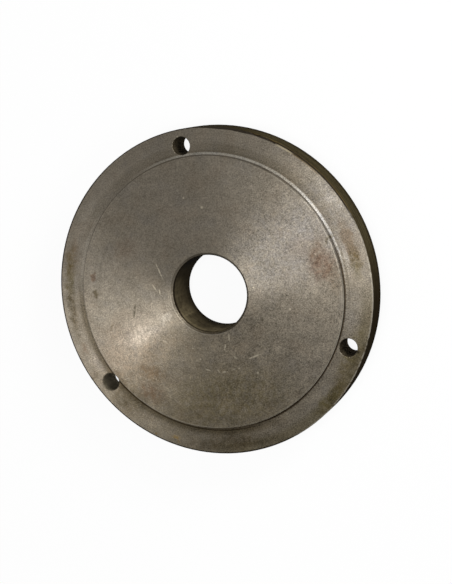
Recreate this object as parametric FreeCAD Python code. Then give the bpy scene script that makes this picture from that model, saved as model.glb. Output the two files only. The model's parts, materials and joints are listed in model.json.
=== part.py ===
import FreeCAD, Part
import math
import os

# Backplate for a lathe chuck: one cast-iron disc, turned all over, with a raised register that the
# chuck seats on, a plain bore, a low boss at the back and three through-holes outside the register.
#
# Millimetres. The disc lies on its boss: the origin is the centre of the boss's back face, +Z runs
# along the bore towards the register, and the first hole is on +Y.

# Register: the raised centre disc that locates the chuck
REGISTER_DIAMETER = 166.0
REGISTER_HEIGHT = 3.5
REGISTER_EDGE = 0.4

# Cove that the tool left in the corner between the register's wall and the shoulder
COVE_WIDTH = 2.7
COVE_HEIGHT = 1.4

# Screw holes through the shoulder, and the metal left on both sides of them
HOLE_COUNT = 3
HOLE_DIAMETER = 11.0
HOLE_EDGE = 0.3
REGISTER_TO_HOLE = 1.5
HOLE_TO_RIM = 4.5
FIRST_HOLE_ANGLE = 90.0

# Flange
FLANGE_THICKNESS = 20.0
FRONT_RIM_EDGE = 0.5
BACK_RIM_EDGE = 1.0

# Bore and the boss round its back end
BORE_DIAMETER = 47.0
BORE_MOUTH_CHAMFER = 1.5
BORE_BACK_CHAMFER = 1.0
BOSS_WALL = 21.5
BOSS_HEIGHT = 6.5
BOSS_EDGE = 1.0
BOSS_FILLET = 3.0

# Chips knocked out of the flange's front edge: angle from +X, length along the edge, depth
RIM_CHIPS = (
    (67.0, 7.0, 0.45),
    (61.5, 9.0, 0.90),
    (55.0, 12.0, 0.85),
    (49.0, 7.0, 0.65),
    (45.5, 8.0, 0.60),
    (-38.0, 6.0, 0.40),
    (171.0, 5.0, 0.30),
)

# How far a cutting tool runs past the metal
CLEAR = 1.0

# A round corner takes at most this share of the wall that it stands against
CORNER_SHARE = 0.45

register_radius = REGISTER_DIAMETER / 2
hole_radius = HOLE_DIAMETER / 2
hole_circle_radius = register_radius + REGISTER_TO_HOLE + hole_radius
flange_radius = hole_circle_radius + hole_radius + HOLE_TO_RIM
bore_radius = BORE_DIAMETER / 2
boss_radius = bore_radius + BOSS_WALL

flange_back = BOSS_HEIGHT
flange_front = flange_back + FLANGE_THICKNESS
register_face = flange_front + REGISTER_HEIGHT

cove_height = min(COVE_HEIGHT, CORNER_SHARE * REGISTER_HEIGHT)
boss_fillet = min(BOSS_FILLET, CORNER_SHARE * BOSS_HEIGHT)


def at(radius, height):
    """Return the point of the section at this radius and height."""
    return FreeCAD.Vector(radius, 0, height)


def line(start, end):
    """Return a straight edge of the section."""
    return Part.LineSegment(start, end).toShape()


def arc(start, middle, end):
    """Return a round edge of the section through three points."""
    return Part.Arc(start, middle, end).toShape()


def polyline(points):
    """Return the straight edges that join the points in order."""
    return [line(start, end) for start, end in zip(points, points[1:])]


def turned(edges):
    """Revolve a closed section once round the bore's axis."""
    face = Part.Face(Part.Wire(edges))
    return face.revolve(FreeCAD.Vector(0, 0, 0), FreeCAD.Vector(0, 0, 1), 360)


def boss_fillet_edge():
    """Return the round corner between the boss's wall and the flange's back."""
    wall = at(boss_radius, flange_back - boss_fillet)
    face = at(boss_radius + boss_fillet, flange_back)
    inset = boss_fillet * (1 - math.sqrt(0.5))
    middle = at(boss_radius + inset, flange_back - inset)
    return arc(wall, middle, face)


def cove_edge():
    """Return the cove: tangent to the shoulder, and meeting the register's wall at a slope."""
    radius = (COVE_WIDTH**2 + cove_height**2) / (2 * cove_height)
    half_turn = math.atan2(cove_height, COVE_WIDTH)
    outer = register_radius + COVE_WIDTH
    shoulder = at(outer, flange_front)
    middle = at(
        outer - radius * math.sin(half_turn),
        flange_front + radius * (1 - math.cos(half_turn)),
    )
    wall = at(register_radius, flange_front + cove_height)
    return arc(shoulder, middle, wall)


def back_edges():
    """Return the section's back: the bore's back chamfer and the end and wall of the boss."""
    return polyline([
        at(bore_radius, BORE_BACK_CHAMFER),
        at(bore_radius + BORE_BACK_CHAMFER, 0),
        at(boss_radius - BOSS_EDGE, 0),
        at(boss_radius, BOSS_EDGE),
        at(boss_radius, flange_back - boss_fillet),
    ])


def rim_edges():
    """Return the flange's back, its rim with both edges broken, and the flat shoulder."""
    return polyline([
        at(boss_radius + boss_fillet, flange_back),
        at(flange_radius - BACK_RIM_EDGE, flange_back),
        at(flange_radius, flange_back + BACK_RIM_EDGE),
        at(flange_radius, flange_front - FRONT_RIM_EDGE),
        at(flange_radius - FRONT_RIM_EDGE, flange_front),
        at(register_radius + COVE_WIDTH, flange_front),
    ])


def register_edges():
    """Return the register's wall and face, the bore's mouth and the bore's wall."""
    return polyline([
        at(register_radius, flange_front + cove_height),
        at(register_radius, register_face - REGISTER_EDGE),
        at(register_radius - REGISTER_EDGE, register_face),
        at(bore_radius + BORE_MOUTH_CHAMFER, register_face),
        at(bore_radius, register_face - BORE_MOUTH_CHAMFER),
        at(bore_radius, BORE_BACK_CHAMFER),
    ])


def turned_disc():
    """Return the disc as it leaves the lathe."""
    section = back_edges() + [boss_fillet_edge()] + rim_edges() + [cove_edge()] + register_edges()
    return turned(section)


def hole_cutter():
    """Return the drill and its two edge breaks, standing on the bore's axis."""
    wide = hole_radius + HOLE_EDGE
    points = [
        at(0, flange_back - CLEAR),
        at(wide, flange_back - CLEAR),
        at(wide, flange_back),
        at(hole_radius, flange_back + HOLE_EDGE),
        at(hole_radius, flange_front - HOLE_EDGE),
        at(wide, flange_front),
        at(wide, register_face + CLEAR),
        at(0, register_face + CLEAR),
        at(0, flange_back - CLEAR),
    ]
    return turned(polyline(points))


def turned_to(shape, radius, angle):
    """Return a copy of the shape moved out along +X and swung round the bore's axis."""
    copy = shape.copy()
    copy.translate(FreeCAD.Vector(radius, 0, 0))
    copy.rotate(FreeCAD.Vector(0, 0, 0), FreeCAD.Vector(0, 0, 1), angle)
    return copy


def hole_cutters():
    """Return one cutter for each screw hole, evenly spaced from the first hole."""
    cutter = hole_cutter()
    step = 360 / HOLE_COUNT
    return [
        turned_to(cutter, hole_circle_radius, FIRST_HOLE_ANGLE + number * step)
        for number in range(HOLE_COUNT)
    ]


def chip_cutter(angle, length, depth):
    """Return a ball that bites the rim's front edge at 45 degrees to this length and depth."""
    ball_radius = (length**2 / 4 + depth**2) / (2 * depth)
    reach = (ball_radius - depth) * math.sqrt(0.5)
    ball = Part.makeSphere(ball_radius)
    ball.translate(FreeCAD.Vector(0, 0, flange_front + reach))
    return turned_to(ball, flange_radius + reach, angle)


def backplate():
    """Return the finished backplate: the turned disc, drilled and with its chipped edge."""
    cutters = hole_cutters() + [chip_cutter(*chip) for chip in RIM_CHIPS]
    return turned_disc().cut(cutters)


def write(shape, node):
    """Write a sub-part as parts/NODE.step."""
    shape.exportStep("parts/" + node + ".step")


os.makedirs("parts", exist_ok=True)
write(backplate(), "backplate")
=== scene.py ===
import json
import math
from collections import namedtuple
import bpy
from mathutils import Matrix, Vector

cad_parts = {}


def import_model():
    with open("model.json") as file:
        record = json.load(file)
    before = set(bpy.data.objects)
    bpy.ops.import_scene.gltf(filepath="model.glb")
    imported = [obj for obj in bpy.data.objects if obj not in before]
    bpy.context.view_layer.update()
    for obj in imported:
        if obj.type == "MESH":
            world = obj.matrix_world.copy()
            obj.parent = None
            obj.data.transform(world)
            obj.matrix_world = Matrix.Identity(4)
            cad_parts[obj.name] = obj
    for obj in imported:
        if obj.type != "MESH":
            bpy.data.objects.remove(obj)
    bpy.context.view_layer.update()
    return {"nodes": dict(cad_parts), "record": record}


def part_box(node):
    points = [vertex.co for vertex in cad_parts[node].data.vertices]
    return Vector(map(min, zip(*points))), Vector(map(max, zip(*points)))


# A worn cast-iron backplate that lies on its boss: one material on the CAD node, with a floor, three
# soft lamps and the camera of the photograph.

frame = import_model()

# Sizes of the plate in millimetres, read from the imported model
MM = 0.001
mounts = {mount["name"]: mount for mount in frame["record"]["mounts"]}
flange_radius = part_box("backplate")[1].x / MM
register_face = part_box("backplate")[1].z / MM
register_radius = mounts["register"]["dims"]["r_mm"]
bore_radius = mounts["bore"]["dims"]["r_mm"]
hole_radius = mounts["screw_holes"]["dims"]["hole_r_mm"]
hole_circle_radius = mounts["screw_holes"]["dims"]["pcd_mm"] / 2
hole_count = mounts["screw_holes"]["dims"]["count"]
shoulder = mounts["shoulder"]["pos_m"][2] / MM
FIRST_HOLE_ANGLE = 90.0
FLANGE_BACK = 6.5
COVE_WIDTH = 2.7
BORE_CHAMFER = 1.5
REGISTER_EDGE = 0.4
RIM_EDGE = 0.5

# Camera: where it looks, how far off it stands, and how it leans
AIM = Vector((9.6 * MM, -0.9 * MM, shoulder * MM))
CAMERA_DISTANCE = 853.4 * MM
CAMERA_AZIMUTH = 15.93
CAMERA_TILT = 21.63
CAMERA_ROLL = 11.48
LENS_MM = 87.55

# Lamps: azimuth and tilt in degrees, and watts; all are square soft boxes at one distance
LAMPS = {"key": (34.0, 63.0, 7.5), "top": (14.0, 2.0, 9.0), "fill": (350.0, 50.0, 3.0)}
LAMP_DISTANCE = 1.3
LAMP_SIZE = 0.4
SKY_LEVEL = 0.25

# Floor: half its width in metres, and how much of it the camera sees as plain white
FLOOR_HALF = 4.0
FLOOR_WHITE = 0.92

# Colours of the iron and of what lies on it, linear
DULL_IRON = (0.179, 0.155, 0.117)
BARE_IRON = (0.248, 0.216, 0.172)
# Also painted light on the register's wall and edge
EDGE_WEAR_AND_PAINTED_LIGHT = (0.42, 0.38, 0.31)
# Also painted shade on the register's edge
OLD_OIL_AND_SHADE = (0.060, 0.052, 0.033)
# Also painted shade on edges, the register's wall and the bore's chamfer
SCALE_AND_SHADE_BLACK = (0.011, 0.0075, 0.0040)
SCALE_OLIVE = (0.080, 0.065, 0.032)
RIM_BROWN = (0.170, 0.115, 0.045)
BORE_BROWN = (0.015, 0.011, 0.006)
BORE_OLIVE = (0.230, 0.185, 0.105)
# Painted shade at the top of the bore
BORE_SHADE_BLACK = (0.0030, 0.0020, 0.0012)
HOLE_BROWN = (0.095, 0.076, 0.048)
HOLE_GREY = (0.240, 0.210, 0.150)
CREAM_BURR = (0.55, 0.47, 0.32)
PALE_GRIT = (0.52, 0.46, 0.35)

# Surface: height and strength of its grain, how far turning marks draw out a highlight, and which way
BUMP_HEIGHT = 0.05 * MM
BUMP_STRENGTH = 0.8
TURNED_SHINE = 0.88
SHINE_TURN = 0.25

# Sizes in millimetres of what mottles the face, and how far noise bends the edge of a stain
GRAIN_SIZE = 0.8
SPECK_SIZE = 0.7
TURNING_PITCH = 0.8
FILM_SIZE = 8.0
WARMTH_SIZE = 15.0
CLOUD_SIZE = 30.0
SWAY_PER_MM = 0.22
SWAY = 7.0
HAIRLINE_ANGLES = (18.0, 74.0, 141.0)

# Sides of the plate, as azimuths in degrees: the two lobes of light, and where the grain is coarse or busy
NEAR_LOBE = 200.0
FAR_LOBE = 5.0
COARSE_SIDE = -25.0
BUSY_SIDE = 205.0

Coat = namedtuple("Coat", "tone metal rough")

# What a mark does to the iron under it: its colour is multiplied by this
# Darker: oil on the face, and painted shade in the cove by the register
OIL_AND_SHADE = (0.48, 0.45, 0.38)
OLIVE = (0.66, 0.63, 0.46)
REDDISH = (0.72, 0.60, 0.54)
BROWNISH = (0.74, 0.66, 0.58)
YELLOW = (1.35, 1.05, 0.50)
# Lighter: rubbed metal, and painted highlight in the lobes of the face's sheen and on the cove
RUBBED_AND_HIGHLIGHT = (1.90, 1.97, 2.10)
# Painted highlight on the cove by the register
COVE_HIGHLIGHT = (1.80, 1.92, 2.10)
BLUISH = (0.96, 1.00, 1.12)
PINKISH = (1.07, 0.98, 0.95)
WARM = (1.02, 1.00, 0.94)
# Painted shade at the foot of the register's wall
FOOT_SHADE = (0.28, 0.23, 0.17)

# Marks on the face, some of them painted highlight: middle in mm, length and width in mm, turn in degrees,
# tint, strength
STAINS = (
    # Painted highlight in the lobes of the face's sheen, as lighter patches
    (-46.0, -15.0, 62, 26, 20, RUBBED_AND_HIGHLIGHT, 0.33),
    (-50.0, -19.0, 32, 14, 18, RUBBED_AND_HIGHLIGHT, 0.34),
    (-31.0, -10.0, 14, 9, 20, RUBBED_AND_HIGHLIGHT, 0.40),
    (-61.0, -32.0, 38, 16, 30, RUBBED_AND_HIGHLIGHT, 0.22),
    (33.0, 6.0, 18, 30, 10, RUBBED_AND_HIGHLIGHT, 0.14),
    (-84.0, -32.0, 26, 10, 110, RUBBED_AND_HIGHLIGHT, 0.22),
    (-60.0, -28.0, 90, 60, 26, PINKISH, 0.5),
    (-28.0, -52.0, 190, 120, 10, WARM, 1.0),
    # Painted highlight by the rim, where the cove's highlight runs out
    (83.0, 48.0, 54, 10, 120, RUBBED_AND_HIGHLIGHT, 0.28),
    (87.0, 4.0, 32, 4.0, 93, RUBBED_AND_HIGHLIGHT, 0.32),
    (62.0, 22.0, 120, 76, 20, BLUISH, 0.8),
    (73.2, 6.0, 29, 22, 80, REDDISH, 1.0),
    (79.0, -2.0, 30, 13, 92, BROWNISH, 0.6),
    (-48.1, 35.6, 26, 18, 20, REDDISH, 0.35),
    (-50.0, -55.0, 28, 16, -35, REDDISH, 0.7),
    (-67.0, -56.0, 40, 28, -51, OIL_AND_SHADE, 0.6),
    (-88.1, -40.8, 8, 4, 60, OIL_AND_SHADE, 0.6),
    (-91.0, -22.0, 14, 7, 100, REDDISH, 0.5),
    (-42.6, -85.4, 9, 4, -27, YELLOW, 0.8),
    (90.5, 16.0, 40, 12, 101, BROWNISH, 1.4),
    (92.0, 5.0, 30, 9, 94, OLIVE, 0.7),
    (61.0, 19.0, 30, 18, 20, BROWNISH, 0.4),
    (71.0, 15.5, 28, 14, 60, BROWNISH, 0.8),
    (43.0, -10.5, 38, 16, 12, OIL_AND_SHADE, 0.22),
    (78.0, -50.0, 56, 15, 58, OLIVE, 0.7),
    (82.0, -56.0, 50, 10, 57, OIL_AND_SHADE, 0.65),
    (61.0, -74.0, 44, 12, 39, OLIVE, 1.0),
    (-5.0, -92.5, 90, 15, -3, OIL_AND_SHADE, 0.65),
    (0.0, -66.0, 120, 56, 0, OLIVE, 0.56),
    (-47.6, -43.0, 26, 16, -30, BROWNISH, 0.9),
    (-86.0, 36.0, 36, 12, 68, BROWNISH, 0.7),
    (-90.0, 26.0, 46, 9, 75, OLIVE, 0.7),
    (-93.0, 4.0, 60, 9, 86, OIL_AND_SHADE, 0.75),
    (-73.9, 11.5, 8, 6, 20, OIL_AND_SHADE, 0.9),
    (-73.0, 22.0, 8, 5, 70, REDDISH, 1.2),
    (-67.5, -10.4, 8, 3, 45, OIL_AND_SHADE, 0.6),
    (79.6, 20.2, 7, 4, 60, OIL_AND_SHADE, 1.0),
    (-68.0, 30.0, 96, 44, 105, RUBBED_AND_HIGHLIGHT, 0.12),
    (-66.0, 58.0, 76, 26, 50, RUBBED_AND_HIGHLIGHT, 0.16),
    (36.0, 64.0, 70, 26, -28, RUBBED_AND_HIGHLIGHT, 0.12),
    (82.0, -27.0, 26, 9, 75, RUBBED_AND_HIGHLIGHT, 0.14),
    (-74.0, -57.0, 20, 13, 130, OIL_AND_SHADE, 0.4),
    (-66.0, -24.0, 22, 13, 20, RUBBED_AND_HIGHLIGHT, 0.14),
    (68.0, 67.0, 22, 9, 136, RUBBED_AND_HIGHLIGHT, 0.18),
    (-70.0, -42.0, 18, 9, 120, OIL_AND_SHADE, 0.32),
)
# Scratches: both ends and width in mm, what they show, strength
SCRATCHES = (
    (-30.6, 25.4, -27.1, 11.6, 1.2, PALE_GRIT, 0.8),
    (-35.6, 12.4, -32.7, 5.4, 1.1, PALE_GRIT, 0.7),
    (-31.2, 8.2, -31.5, 3.4, 1.0, PALE_GRIT, 0.6),
    (15.8, -42.7, 26.0, -40.5, 1.3, PALE_GRIT, 1.2),
    (7.4, -25.0, 6.6, -30.8, 1.1, PALE_GRIT, 0.8),
    (4.3, -31.2, 2.2, -35.8, 1.1, PALE_GRIT, 1.0),
    (-12.6, -44.7, -8.5, -46.7, 1.2, PALE_GRIT, 0.6),
    (-4.7, -46.0, -2.9, -49.0, 1.1, PALE_GRIT, 0.6),
    (-2.5, -48.2, 2.6, -48.6, 1.4, PALE_GRIT, 0.7),
    (3.8, -47.9, 7.4, -47.3, 1.3, PALE_GRIT, 0.6),
    (7.4, -39.4, 9.8, -42.2, 1.1, PALE_GRIT, 0.7),
    (-16.9, -39.6, -14.4, -38.2, 1.2, PALE_GRIT, 0.5),
    (-36.2, -23.6, -33.0, -25.4, 1.3, PALE_GRIT, 0.5),
    (58.6, 52.2, 61.0, 45.8, 1.0, PALE_GRIT, 0.4),
    (-48.3, 3.2, -52.4, -9.0, 1.6, OLD_OIL_AND_SHADE, 0.7),
)
# Specks: middle and size in mm, and what they show
SPECKS = (
    (-3.8, 59.4, 1.6, PALE_GRIT), (6.5, 51.9, 2.6, PALE_GRIT), (48.4, -16.7, 1.8, PALE_GRIT),
    (20.7, -51.7, 2.2, PALE_GRIT), (9.5, -47.5, 1.5, PALE_GRIT), (-1.2, 95.8, 1.4, PALE_GRIT),
    (-14.0, -38.5, 1.5, PALE_GRIT), (28.6, -0.5, 1.8, PALE_GRIT), (-17.5, -31.3, 1.3, PALE_GRIT),
    (30.2, -20.5, 2.8, OLD_OIL_AND_SHADE), (83.2, -48.4, 3.2, SCALE_AND_SHADE_BLACK), (-54.8, -81.4, 2.6, RIM_BROWN),
)
# Rings by the register, painted highlight and shade on the cove and at the wall's foot, and darker bands on
# the shoulder: from and to in mm outside its wall, width of the fade before and after, azimuth, half of the
# full and of the whole angle in degrees, tint, strength
RINGS = (
    # Painted highlight on the cove
    (0.75, 1.6, 0.5, 0.5, 54.0, 30.0, 64.0, COVE_HIGHLIGHT, 0.9),
    # Painted light on the cove on the far side
    (1.2, 3.0, 0.8, 0.8, 164.0, 14.0, 34.0, RUBBED_AND_HIGHLIGHT, 0.3),
    # Painted shade outside the cove's highlight
    (2.2, 2.8, 0.8, 0.8, 40.0, 45.0, 75.0, OIL_AND_SHADE, 0.3),
    # Painted shadow of the register on the shoulder, with its dark line
    (2.1, 2.7, 1.0, 4.7, 226.0, 46.0, 66.0, OIL_AND_SHADE, 0.9),
    (1.8, 2.4, 0.35, 0.35, 240.0, 26.0, 46.0, FOOT_SHADE, 0.8),
    # Painted shade at the foot of the register's wall
    (0.7, 1.3, 0.3, 0.3, 278.0, 18.0, 30.0, FOOT_SHADE, 0.8),
    (0.3, 0.9, 0.25, 0.25, -36.0, 38.0, 54.0, FOOT_SHADE, 0.85),
    # Darker bands on the face and the shoulder
    (3.0, 5.5, 2.2, 2.2, 45.0, 16.0, 40.0, OIL_AND_SHADE, 0.4),
    (3.0, 6.0, 2.5, 2.5, 108.0, 26.0, 56.0, OIL_AND_SHADE, 0.22),
    (-6.0, 0.0, 5.0, 5.0, 258.0, 18.0, 46.0, OIL_AND_SHADE, 0.26),
    (4.0, 20.0, 2.5, 1.0, 268.0, 10.0, 34.0, OIL_AND_SHADE, 0.3),
    (13.0, 20.0, 5.0, 1.0, 304.0, 34.0, 54.0, OLIVE, 0.6),
)


class Signal:
    """An output of a node. Arithmetic on it adds Math nodes to the same finish."""

    def __init__(self, finish, socket):
        self.finish = finish
        self.socket = socket

    def math(self, operation, *values):
        return self.finish.node("ShaderNodeMath", {"operation": operation}, dict(enumerate(values)))

    def __add__(self, other):
        return self.math("ADD", self, other)

    __radd__ = __add__

    def __sub__(self, other):
        return self.math("SUBTRACT", self, other)

    def __rsub__(self, other):
        return self.math("SUBTRACT", other, self)

    def __mul__(self, other):
        return self.math("MULTIPLY", self, other)

    __rmul__ = __mul__

    def __truediv__(self, other):
        return self.math("DIVIDE", self, other)

    def __pow__(self, other):
        return self.math("POWER", self, other)

    def at_least(self, other):
        return self.math("MAXIMUM", self, other)

    def at_most(self, other):
        return self.math("MINIMUM", self, other)


class Finish:
    """A material: one method adds any node, and the rest are short names for common ones."""

    def __init__(self, name):
        self.material = bpy.data.materials.new(name)
        self.material.use_nodes = True
        self.nodes = self.material.node_tree.nodes
        self.links = self.material.node_tree.links
        self.nodes.clear()

    def node(self, kind, settings=None, inputs=None, output=None):
        """Add a node, give it its settings and then its inputs, and return one of its outputs."""
        node = self.nodes.new(kind)
        for name, value in (settings or {}).items():
            setattr(node, name, value)
        for key, value in (inputs or {}).items():
            socket = self.socket(node.inputs, key)
            if isinstance(value, Signal):
                self.links.new(value.socket, socket)
            else:
                socket.default_value = value
        if not node.outputs:
            return None
        return Signal(self, self.socket(node.outputs, output or 0))

    @staticmethod
    def socket(sockets, key):
        """Return the socket with this number, or the first one in use with this name."""
        if isinstance(key, int):
            return [socket for socket in sockets if socket.enabled][key]
        return next(socket for socket in sockets if socket.name == key and socket.enabled)

    def split(self, vector):
        """Return a vector's three parts."""
        node = self.nodes.new("ShaderNodeSeparateXYZ")
        self.links.new(vector.socket, node.inputs[0])
        return [Signal(self, socket) for socket in node.outputs]

    def point(self, x, y, z):
        """Return the vector with these three parts."""
        return self.node("ShaderNodeCombineXYZ", None, {0: x, 1: y, 2: z})

    def scale(self, vector, factor):
        """Return the vector times a number."""
        return self.node("ShaderNodeVectorMath", {"operation": "SCALE"}, {0: vector, "Scale": factor})

    def vector(self, operation, *values):
        """Return a Vector Math node's result: a vector, or a number where that is what it gives."""
        return self.node("ShaderNodeVectorMath", {"operation": operation}, dict(enumerate(values)))

    def ramp(self, value, low, high):
        """Return 0 below low and 1 above high, with a smooth step between; low may be the larger."""
        settings = {"interpolation_type": "SMOOTHSTEP"}
        return self.node("ShaderNodeMapRange", settings, {"Value": value, "From Min": low, "From Max": high})

    def fit(self, value, low, high, to_low, to_high):
        """Return the value carried from one range to another, held at its ends."""
        inputs = {"Value": value, "From Min": low, "From Max": high, "To Min": to_low, "To Max": to_high}
        return self.node("ShaderNodeMapRange", None, inputs)

    def band(self, value, start, end, soft):
        """Return 1 between start and end, fading to 0 over the soft width outside them."""
        return self.ramp(value, start - soft, start) * self.ramp(value, end + soft, end)

    def mix(self, factor, under, over, blend="MIX"):
        """Return the colour under, covered by the colour over as far as the factor says."""
        settings = {"data_type": "RGBA", "blend_type": blend}
        inputs = {"Factor": factor, "A": colour(under), "B": colour(over)}
        return self.node("ShaderNodeMix", settings, inputs)

    def noise(self, vector, size, detail=3.0, roughness=0.5, distortion=0.0):
        """Return noise from 0 to 1 whose features are about this many millimetres across."""
        inputs = {
            "Vector": vector, "Scale": 1.0 / size, "Detail": detail,
            "Roughness": roughness, "Distortion": distortion,
        }
        return self.node("ShaderNodeTexNoise", None, inputs)

    def cover(self, under, over, mask):
        """Lay one coat over another as far as the mask says."""
        metal = under.metal + (over.metal - under.metal) * mask
        rough = under.rough + (over.rough - under.rough) * mask
        return Coat(self.mix(mask, under.tone, over.tone), metal, rough)


def colour(value):
    """Return a colour for a socket: a signal as it is, and three numbers with alpha added."""
    return value if isinstance(value, Signal) else (*value, 1.0)


class Plate:
    """Places on the plate, in millimetres, for its finish to follow."""

    def __init__(self, finish):
        self.finish = finish
        self.place = finish.scale(finish.node("ShaderNodeTexCoord", None, None, "Object"), 1 / MM)
        self.x, self.y, self.z = finish.split(self.place)
        self.flat = finish.point(self.x, self.y, 0.0)
        self.radius = finish.vector("LENGTH", self.flat)
        self.around = finish.vector("NORMALIZE", self.flat)
        inputs = {"Vector": self.place, "Scale": SWAY_PER_MM, "Detail": 3.0}
        sway = finish.node("ShaderNodeTexNoise", None, inputs, "Color")
        middle = finish.vector("SUBTRACT", sway, (0.5, 0.5, 0.5))
        self.swayed = finish.vector("MULTIPLY_ADD", middle, (SWAY, SWAY, 0.0), self.flat)

    def toward(self, azimuth, inner, outer):
        """Return 1 within the inner angle of an azimuth, in degrees, and 0 beyond the outer one."""
        aim = direction(azimuth, 90.0)
        cosine = self.finish.vector("DOT_PRODUCT", self.around, aim)
        return self.finish.ramp(cosine, math.cos(math.radians(outer)), math.cos(math.radians(inner)))

    def ring(self, across, along):
        """Return a place for noise drawn out round the plate: outward by across, round by along, in mm."""
        return self.drawn_out(self.radius / across, along)

    def band_round(self, across, along):
        """Return a place for noise drawn out along the rim: up by across, round by along, in mm."""
        return self.drawn_out(self.z / across, along)

    def drawn_out(self, level, along):
        """Return a place that moves slowly round the plate, with the level as its third part."""
        a, b, _ = self.finish.split(self.finish.scale(self.around, flange_radius / along))
        return self.finish.point(a, b, level)

    def to_hole(self):
        """Return the distance to the nearest screw hole's middle."""
        nearest = None
        for hole in range(hole_count):
            centre = hole_circle_radius * direction(FIRST_HOLE_ANGLE + hole * 360.0 / hole_count, 90.0)
            reach = self.finish.vector("DISTANCE", self.flat, centre)
            nearest = reach if nearest is None else nearest.at_most(reach)
        return nearest

    def spot(self, x, y, size):
        """Return a mask for a small round mark with a soft edge."""
        reach = self.finish.vector("DISTANCE", self.flat, (x, y, 0.0))
        return self.finish.ramp(reach, size / 2, size / 20)

    def blot(self, x, y, length, width, angle=0.0, soft=0.8, swayed=True):
        """Return a mask for one mark: an ellipse with a soft edge, bent by noise if swayed."""
        where = self.swayed if swayed else self.flat
        centre = Vector((x, y, 0.0))
        reach = 0.0
        for axis in (direction(angle, 90.0) / (length / 2), direction(angle + 90.0, 90.0) / (width / 2)):
            along = self.finish.vector("DOT_PRODUCT", where, axis) - centre.dot(axis)
            reach = along * along + reach
        return self.finish.ramp(reach ** 0.5, 1.0, 1.0 - soft)


def hairlines(finish, plate):
    """Return fine handling scratches that run three ways and come and go."""
    lines = 0.0
    for angle in HAIRLINE_ANGLES:
        turn = (0.0, 0.0, math.radians(angle))
        inputs = {"Vector": plate.flat, "Rotation": turn, "Scale": (8.0, 0.5, 1.0)}
        local = finish.node("ShaderNodeMapping", {"vector_type": "TEXTURE"}, inputs)
        lines = finish.ramp(finish.noise(local, 1.0, 1.0), 0.60, 0.74) + lines
    return lines * finish.ramp(finish.noise(plate.place, 11.0, 2.0), 0.42, 0.62)


def face_iron(finish, plate):
    """Turned iron of the face and the shoulder: fine grain, faint turning marks and a mottled film, with
    grain and glints painted brighter in the lobes of its highlight.
    """
    grain = finish.noise(plate.place, GRAIN_SIZE, 3.0, 0.65)
    patch = finish.noise(plate.place, FILM_SIZE, 3.0, 0.6)
    cloud = finish.noise(plate.place, CLOUD_SIZE, 3.0, 0.5)
    turning = finish.noise(plate.ring(TURNING_PITCH, 90.0), 1.0, 2.0)
    warmth = finish.noise(plate.place, WARMTH_SIZE, 3.0, 0.6)
    tone = finish.mix(finish.fit(cloud, 0.3, 0.7, 0.3, 0.7), DULL_IRON, BARE_IRON)
    tone = finish.mix(finish.ramp(warmth, 0.50, 0.66) * 0.25, tone, BROWNISH, "MULTIPLY")
    tone = finish.mix(finish.ramp(warmth, 0.48, 0.34) * 0.3, tone, BLUISH, "MULTIPLY")
    # The lobes are where the turned face's sheen is strongest; grain and glints are painted stronger there
    lobe = plate.toward(NEAR_LOBE, 12.0, 50.0).at_least(0.3 * plate.toward(FAR_LOBE, 30.0, 75.0))
    coarse = plate.toward(COARSE_SIDE, 60.0, 100.0)
    busy = coarse.at_least(plate.toward(BUSY_SIDE, 30.0, 70.0))
    specks = finish.noise(plate.place, SPECK_SIZE, 2.0, 0.6)
    # Bright specks painted on as glints, strongest in the lobes of the sheen
    painted_glint = finish.ramp(specks, 0.54, 0.72)
    pits = finish.ramp(specks, 0.44, 0.26)
    level = 1.0 + 1.6 * (grain - 0.5) * (1.0 + 0.1 * lobe + 0.5 * coarse) + 0.3 * (turning - 0.5)
    level = level - pits * (0.08 + 0.3 * coarse)
    level = level + (patch - 0.5) * (0.35 + 0.55 * busy)
    level = level + painted_glint * (0.12 + 0.3 * lobe + 0.3 * plate.toward(210.0, 26.0, 50.0) + 0.3 * coarse)
    level = level + hairlines(finish, plate) * (0.06 + 0.36 * busy)
    return Coat(finish.scale(tone, level), 0.72, finish.fit(patch, 0.3, 0.7, 0.48, 0.54))


def stained(finish, plate, coat):
    """Lay the face's stains, painted highlight patches, scratches and specks over its iron."""
    broken = finish.fit(finish.noise(plate.place, 3.0, 4.0, 0.65), 0.35, 0.65, 0.4, 1.5)
    tone = coat.tone
    for x, y, length, width, angle, tint, strength in STAINS:
        mask = plate.blot(x, y, length, width, angle) * broken * strength
        tone = finish.mix(mask, tone, tint, "MULTIPLY")
    coat = Coat(tone, coat.metal, coat.rough)
    gaps = finish.fit(finish.noise(plate.place, 2.2, 2.0), 0.38, 0.54, 0.3, 1.0)
    for x1, y1, x2, y2, width, tone, strength in SCRATCHES:
        length = math.hypot(x2 - x1, y2 - y1)
        angle = math.degrees(math.atan2(y2 - y1, x2 - x1))
        mask = plate.blot((x1 + x2) / 2, (y1 + y2) / 2, length, width, angle, 0.5, False) * gaps * strength
        coat = finish.cover(coat, Coat(tone, 0.8, 0.5), mask)
    for x, y, size, tone in SPECKS:
        coat = finish.cover(coat, Coat(tone, 0.7, 0.5), plate.spot(x, y, size) * 0.8)
    return coat


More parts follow.
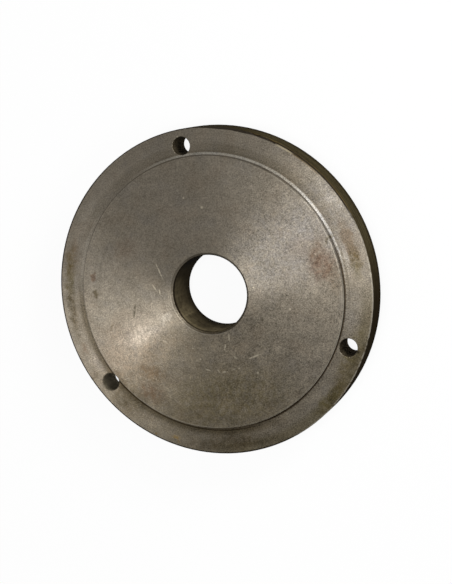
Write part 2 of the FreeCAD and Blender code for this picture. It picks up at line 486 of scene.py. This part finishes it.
def register_edges(finish, plate, coat):
    """The register's foot, wall and edge: rings of painted shade and highlight, the lower wall painted dark
    with painted shade, painted light on the upper wall and the edge, and wear on one side.
    """
    outside = plate.radius - register_radius
    tone = coat.tone
    for start, end, before, after, azimuth, inner, outer, tint, strength in RINGS:
        ring = finish.ramp(outside, start - before, start) * finish.ramp(outside, end + after, end)
        tone = finish.mix(ring * plate.toward(azimuth, inner, outer) * strength, tone, tint, "MULTIPLY")
    coat = Coat(tone, coat.metal, coat.rough)
    wall = finish.band(outside, -0.03, 0.45, 0.12)
    # Painted light on the upper wall, on the side turned from the key lamp
    painted_wall_light = finish.ramp(plate.z, register_face - 2.3, register_face - 1.9) * plate.toward(-60.0, 44.0, 66.0)
    coat = finish.cover(coat, Coat(EDGE_WEAR_AND_PAINTED_LIGHT, 0.3, 0.6), wall * painted_wall_light * 0.9)
    wall = wall * finish.ramp(plate.z, register_face - 1.9, register_face - 2.3)
    # The lower wall painted dark, more so round -75° as painted shade
    deep = 0.5 + 0.42 * plate.toward(-75.0, 42.0, 80.0)
    coat = finish.cover(coat, Coat(SCALE_AND_SHADE_BLACK, 0.3, 0.7), wall * deep)
    edge = finish.band(outside, -REGISTER_EDGE, -0.05, 0.15)
    edge = edge * finish.ramp(plate.z, shoulder + 1.0, register_face - 0.45)
    # Painted light on the edge round -120°, and painted shade on it round 126°
    coat = finish.cover(coat, Coat(EDGE_WEAR_AND_PAINTED_LIGHT, 0.4, 0.6), edge * plate.toward(-120.0, 14.0, 30.0) * 0.5)
    coat = finish.cover(coat, Coat(OLD_OIL_AND_SHADE, 0.5, 0.6), edge * plate.toward(126.0, 24.0, 40.0) * 0.55)
    patchy = finish.ramp(finish.noise(plate.ring(1.0, 5.0), 1.0), 0.35, 0.6)
    worn = finish.band(outside, -0.9, -0.35, 0.2)
    worn = worn * patchy * plate.toward(-15.0, 62.0, 85.0)
    return finish.cover(coat, Coat(EDGE_WEAR_AND_PAINTED_LIGHT, 0.8, 0.45), worn * 0.3)


def rim_skin(finish, plate):
    """Dark oily skin on the flange's rim, streaked the way it turned."""
    streak = finish.noise(plate.band_round(1.6, 30.0), 1.0, 3.0, 0.6)
    speck = finish.noise(plate.place, 1.6, 3.0, 0.6)
    lit = finish.ramp(streak + 0.6 * (speck - 0.5), 0.32, 0.70)
    upper = finish.ramp(plate.z, FLANGE_BACK + 1.5, FLANGE_BACK + 8.0)
    olive = finish.mix(0.3 + 0.55 * lit, SCALE_AND_SHADE_BLACK, SCALE_OLIVE)
    brown = finish.ramp(plate.z, shoulder - 5.0, shoulder - 1.5) * finish.ramp(streak, 0.4, 0.6)
    olive = finish.mix(brown * (0.1 + 0.4 * plate.toward(45.0, 14.0, 30.0)), olive, RIM_BROWN)
    tone = finish.mix(0.3 + 0.7 * upper, SCALE_AND_SHADE_BLACK, olive)
    tone = finish.mix(plate.toward(-52.0, 36.0, 62.0) * 0.9, tone, SCALE_AND_SHADE_BLACK)
    tone = finish.mix(plate.toward(95.0, 12.0, 40.0) * 0.6, tone, SCALE_AND_SHADE_BLACK)
    return Coat(tone, 0.1, 0.75)


def flange_edge(finish, plate, coat):
    """The flange's front edge: painted shade along most of it, worn bright on one side, ragged where it is
    chipped.
    """
    ragged = finish.noise(plate.ring(1.2, 9.0), 1.0, 2.0) * plate.toward(61.0, 13.0, 24.0)
    far_side = plate.toward(205.0, 70.0, 95.0)
    start = flange_radius - RIM_EDGE - 0.1 - 1.3 * ragged - 0.3 * far_side
    edge = finish.ramp(plate.radius - start, -0.2, 0.1)
    edge = edge * finish.ramp(plate.z, shoulder - 1.2, shoulder - 0.8)
    worn = plate.toward(-25.0, 32.0, 48.0)
    # Painted shade along the edge, wider round 205°, except on the worn side
    coat = finish.cover(coat, Coat(SCALE_AND_SHADE_BLACK, 0.3, 0.6), edge * (1.0 - worn) * 0.9)
    patchy = finish.ramp(finish.noise(plate.place, 2.5, 2.0), 0.3, 0.55)
    coat = finish.cover(coat, Coat(EDGE_WEAR_AND_PAINTED_LIGHT, 0.9, 0.4), edge * worn * patchy * 0.6)
    burr = finish.band(plate.radius, flange_radius - 1.4, flange_radius - 0.8, 0.3)
    coat = finish.cover(coat, Coat(RIM_BROWN, 0.4, 0.6), burr * plate.toward(42.0, 3.0, 8.0) * 0.4)
    return finish.cover(coat, Coat(CREAM_BURR, 0.8, 0.5), burr * plate.toward(50.5, 1.5, 4.0) * 0.6)


def bore_skin(finish, plate):
    """Dark brown film in the bore, mottled, and olive by the mouth, with painted shade deeper in and at the
    top.
    """
    streak = finish.noise(plate.band_round(5.0, 16.0), 1.0, 4.0, 0.65)
    drips = finish.noise(plate.ring(30.0, 9.0), 1.0, 3.0, 0.6)
    rings = finish.noise(plate.band_round(1.3, 60.0), 1.0, 2.0)
    depth = finish.ramp(plate.z, register_face - 21.0, register_face - 4.0)
    mottle = finish.noise(plate.place, 5.0, 4.0, 0.65)
    lower = plate.toward(224.0, 38.0, 96.0) * (1.0 - 0.5 * plate.toward(165.0, 20.0, 42.0))
    blotch = plate.toward(233.0, 8.0, 26.0) * finish.ramp(plate.z, register_face - 4.0, register_face - 8.0)
    film = finish.fit(streak + mottle + 0.4 * (drips + rings), 1.1, 1.7, 0.25, 1.0)
    # Darker deeper in the bore: painted shade
    film = film * (0.45 + 0.5 * depth) * finish.ramp(plate.z, 0.0, 12.0)
    film = film * (0.05 + 0.92 * lower) * (1.0 - 0.45 * blotch)
    tone = finish.mix(film, BORE_BROWN, BORE_OLIVE)
    # Painted shade at the top of the bore
    tone = finish.mix(plate.toward(95.0, 20.0, 38.0) * 0.8, tone, BORE_SHADE_BLACK)
    lip_top = register_face - BORE_CHAMFER + 0.2
    lip = finish.band(plate.z, lip_top - 0.9 - 0.9 * plate.toward(165.0, 30.0, 50.0), lip_top, 0.2)
    return Coat(finish.mix(lip * 0.9, tone, SCALE_AND_SHADE_BLACK), 0.15, 0.6)


def bore_mouth(finish, plate, coat):
    """The chamfer of the bore: as the face on one side, painted shade on the other, with a thin worn line
    below.
    """
    wide = bore_radius + BORE_CHAMFER
    lit = plate.toward(192.0, 52.0, 82.0)
    chamfer = finish.band(plate.radius, bore_radius + 0.3, wide - 0.1, 0.15)
    tone = finish.mix(chamfer * lit * 0.35, coat.tone, OIL_AND_SHADE, "MULTIPLY")
    inner = finish.ramp(plate.radius, bore_radius + 1.6, bore_radius + 0.8)
    tone = finish.mix(inner * plate.toward(276.0, 22.0, 50.0) * 0.7, tone, OIL_AND_SHADE, "MULTIPLY")
    coat = Coat(tone, coat.metal, coat.rough)
    # Painted shade on the chamfer away from 192°
    coat = finish.cover(coat, Coat(SCALE_AND_SHADE_BLACK, 0.3, 0.6), chamfer * (1.0 - lit) * 0.6)
    line = finish.band(plate.radius, wide - 0.1, wide + 0.15, 0.2)
    return finish.cover(coat, Coat(EDGE_WEAR_AND_PAINTED_LIGHT, 0.8, 0.45), line * plate.toward(225.0, 48.0, 72.0) * 0.35)


def hole_skin(finish, plate):
    """Brown film in the screw holes, streaked by the drill."""
    streak = finish.noise(finish.point(plate.x, plate.y, plate.z / 8.0), 2.0, 2.0)
    tone = finish.mix(finish.fit(streak, 0.3, 0.7, 0.25, 0.75), BORE_BROWN, HOLE_BROWN)
    tone = finish.mix(plate.toward(210.0, 6.0, 10.0) * (0.4 + 0.6 * streak), tone, HOLE_GREY)
    return Coat(tone, 0.15, 0.6)


def back_iron(finish, plate, face):
    """The side that lies down: the same iron, duller and browner."""
    cloud = finish.noise(plate.place, 22.0, 4.0, 0.6)
    tone = finish.mix(0.45 + 0.4 * (cloud - 0.5), face.tone, OLD_OIL_AND_SHADE)
    return Coat(tone, 0.7, 0.6)


def plate_finish():
    """The finish of the whole casting: turned face, cove, rim, bore, screw holes and back."""
    finish = Finish("turned_iron")
    plate = Plate(finish)
    face = face_iron(finish, plate)
    coat = stained(finish, plate, face)
    coat = register_edges(finish, plate, coat)
    coat = bore_mouth(finish, plate, coat)
    back = finish.ramp(plate.z, FLANGE_BACK + 1.5, FLANGE_BACK + 0.5)
    coat = finish.cover(coat, back_iron(finish, plate, face), back)
    rim = finish.ramp(plate.radius, flange_radius - 1.6, flange_radius - 1.2)
    rim = rim * finish.ramp(plate.z, shoulder - 0.4, shoulder - 0.6)
    coat = finish.cover(coat, rim_skin(finish, plate), rim)
    coat = flange_edge(finish, plate, coat)
    bore = finish.ramp(plate.radius, bore_radius + 0.4, bore_radius + 0.25)
    coat = finish.cover(coat, bore_skin(finish, plate), bore)
    holes = finish.ramp(plate.to_hole(), hole_radius + 0.25, hole_radius + 0.1)
    holes = holes * finish.ramp(plate.z, shoulder - 0.1, shoulder - 0.3)
    coat = finish.cover(coat, hole_skin(finish, plate), holes)
    grain = finish.noise(plate.place, 0.75, 3.0, 0.6)
    turning = finish.noise(plate.ring(0.5, 120.0), 1.0, 1.0)
    cove = finish.band(plate.radius, register_radius - 0.3, register_radius + COVE_WIDTH, 0.4)
    height = (grain + 0.5 * turning) * (1.0 - 0.75 * cove)
    inputs = {"Strength": BUMP_STRENGTH, "Distance": BUMP_HEIGHT, "Height": height}
    bump = finish.node("ShaderNodeBump", None, inputs)
    inputs = {
        "Base Color": coat.tone,
        "Metallic": coat.metal,
        "Roughness": coat.rough,
        "Anisotropic": TURNED_SHINE,
        "Anisotropic Rotation": SHINE_TURN,
        "Specular IOR Level": 0.0,
        "Normal": bump,
    }
    shader = finish.node("ShaderNodeBsdfPrincipled", None, inputs)
    finish.node("ShaderNodeOutputMaterial", None, {"Surface": shader})
    return finish.material


def floor_finish():
    """A floor that the camera sees as white, with the plate's soft shadow left faint on it."""
    finish = Finish("studio_floor")
    paint = finish.node("ShaderNodeBsdfDiffuse", None, {"Color": (0.9, 0.9, 0.9, 1.0)})
    white = finish.node("ShaderNodeEmission", None, {"Color": (1.0, 1.0, 1.0, 1.0), "Strength": 1.0})
    seen = finish.node("ShaderNodeLightPath", None, None, "Is Camera Ray")
    mirrored = finish.node("ShaderNodeLightPath", None, None, "Is Glossy Ray")
    through = finish.node("ShaderNodeLightPath", None, None, "Is Transmission Ray")
    direct = (seen + mirrored + through).at_most(1.0)
    shader = finish.node("ShaderNodeMixShader", None, {0: direct * FLOOR_WHITE, 1: paint, 2: white})
    finish.node("ShaderNodeOutputMaterial", None, {"Surface": shader})
    return finish.material


def floor():
    """A wide flat floor under the plate."""
    mesh = bpy.data.meshes.new("floor")
    corners = [(x * FLOOR_HALF, y * FLOOR_HALF, 0) for x, y in ((-1, -1), (1, -1), (1, 1), (-1, 1))]
    mesh.from_pydata(corners, [], [(0, 1, 2, 3)])
    mesh.materials.append(floor_finish())
    item = bpy.data.objects.new("floor", mesh)
    bpy.context.scene.collection.objects.link(item)


def direction(azimuth, tilt):
    """Return the unit vector at this azimuth from +X and this tilt from straight up, in degrees."""
    turn = math.radians(azimuth)
    lean = math.radians(tilt)
    return Vector((math.sin(lean) * math.cos(turn), math.sin(lean) * math.sin(turn), math.cos(lean)))


def place(item, where, back, up):
    """Put a camera or lamp at a place, looking against the back vector."""
    back = back.normalized()
    right = up.cross(back).normalized()
    turn = Matrix((right, back.cross(right), back)).transposed()
    item.matrix_world = Matrix.Translation(where) @ turn.to_4x4()
    bpy.context.scene.collection.objects.link(item)


def soft_lamp(name, azimuth, tilt, watts):
    """A square soft box that looks at the plate's middle."""
    data = bpy.data.lights.new(name, "AREA")
    data.shape = "SQUARE"
    data.size = LAMP_SIZE
    data.energy = watts
    back = direction(azimuth, tilt)
    up = direction(azimuth, tilt - 90.0)
    place(bpy.data.objects.new(name, data), AIM + LAMP_DISTANCE * back, back, up)


def camera():
    """The camera, turned about its own axis as the photograph was."""
    data = bpy.data.cameras.new("camera")
    data.lens = LENS_MM
    back = direction(CAMERA_AZIMUTH, CAMERA_TILT)
    level = (Vector((0, 1, 0)) - back.y * back).normalized()
    up = Matrix.Rotation(math.radians(-CAMERA_ROLL), 3, back) @ level
    item = bpy.data.objects.new("camera", data)
    place(item, AIM + CAMERA_DISTANCE * back, back, up)
    bpy.context.scene.camera = item


def world():
    """Even light from all round."""
    sky = bpy.data.worlds.new("studio")
    sky.use_nodes = True
    sky.node_tree.nodes["Background"].inputs["Color"].default_value = (1.0, 1.0, 1.0, 1.0)
    sky.node_tree.nodes["Background"].inputs["Strength"].default_value = SKY_LEVEL
    bpy.context.scene.world = sky


frame["nodes"]["backplate"].material_slots[0].material = plate_finish()
floor()
camera()
world()
for lamp_name, (lamp_azimuth, lamp_tilt, lamp_watts) in LAMPS.items():
    soft_lamp(lamp_name, lamp_azimuth, lamp_tilt, lamp_watts)
bpy.context.scene.view_settings.view_transform = "Standard"
